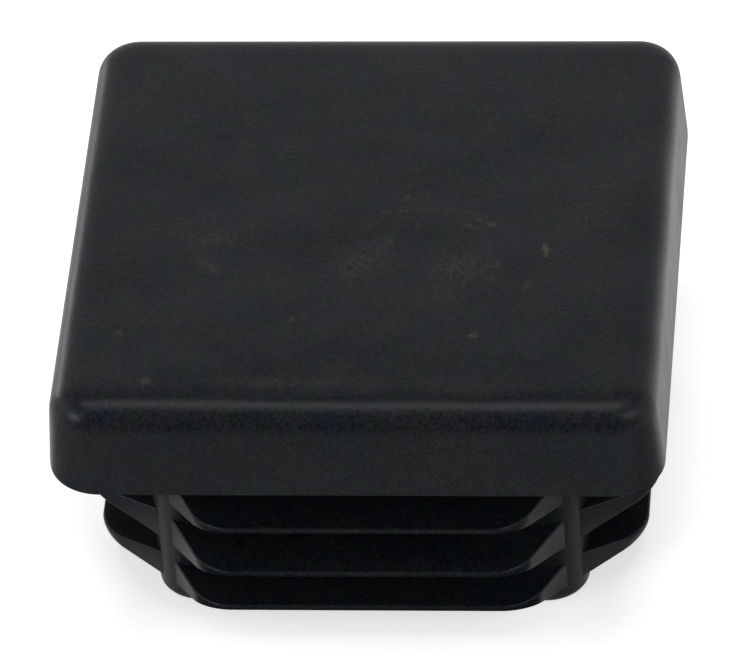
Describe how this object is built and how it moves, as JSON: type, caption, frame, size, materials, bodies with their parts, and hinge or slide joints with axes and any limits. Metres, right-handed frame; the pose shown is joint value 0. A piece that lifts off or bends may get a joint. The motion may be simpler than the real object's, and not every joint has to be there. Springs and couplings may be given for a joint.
{
  "type": "square tube end cap",
  "caption": "Square plastic end cap with a rounded-edge head and a hollow finned insert that grips inside the end of a square tube.",
  "frame": {"origin": "centre of the shoulder, the plane of the head's underside that meets the cut end of the tube", "axes": "+Z out of the tube through the head; X and Y along the sides of the square"},
  "size_m": [0.025, 0.025, 0.0133],
  "materials": {
    "black_plastic": "satin moulded polyethylene, near black"
  },
  "bodies": {
    "root": {"end_cap": "black_plastic"}
  },
  "joints": []
}
